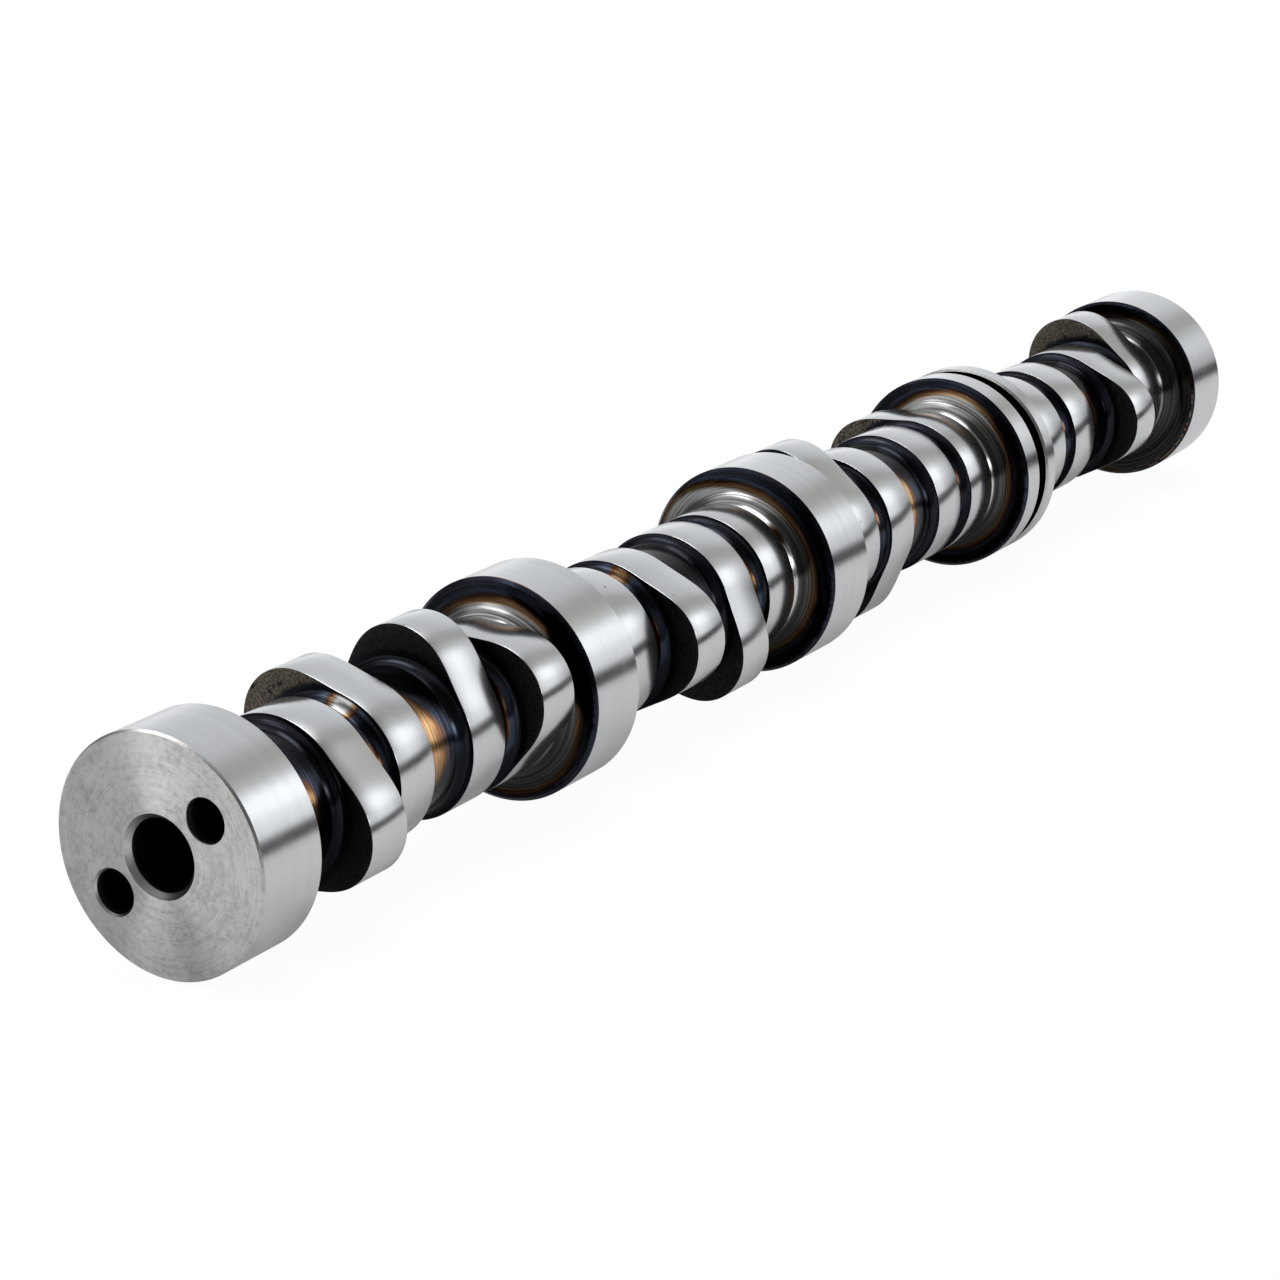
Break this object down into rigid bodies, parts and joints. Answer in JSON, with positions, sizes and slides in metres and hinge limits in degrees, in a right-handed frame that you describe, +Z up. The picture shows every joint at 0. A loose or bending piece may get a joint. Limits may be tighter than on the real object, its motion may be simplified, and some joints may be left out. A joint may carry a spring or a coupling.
{
  "type": "camshaft",
  "caption": "Steel camshaft for a 90-degree pushrod vee engine: ground bearing journals and phased cam lobes on one shaft, with a doweled timing-gear nose and a bored rear end.",
  "frame": {"origin": "on the shaft's axis, in the plane of the thrust face, which is the front face of the front journal", "axes": "+X along the shaft from the timing-gear end to the rear, +Z up and +Y to the right for someone looking forward from the rear"},
  "size_m": [0.4931, 0.0549, 0.055],
  "materials": {
    "camshaft": "journals and lobe faces ground bright, sides and necks left dark from heat treatment"
  },
  "bodies": {
    "root": {"camshaft": "camshaft"}
  },
  "joints": []
}
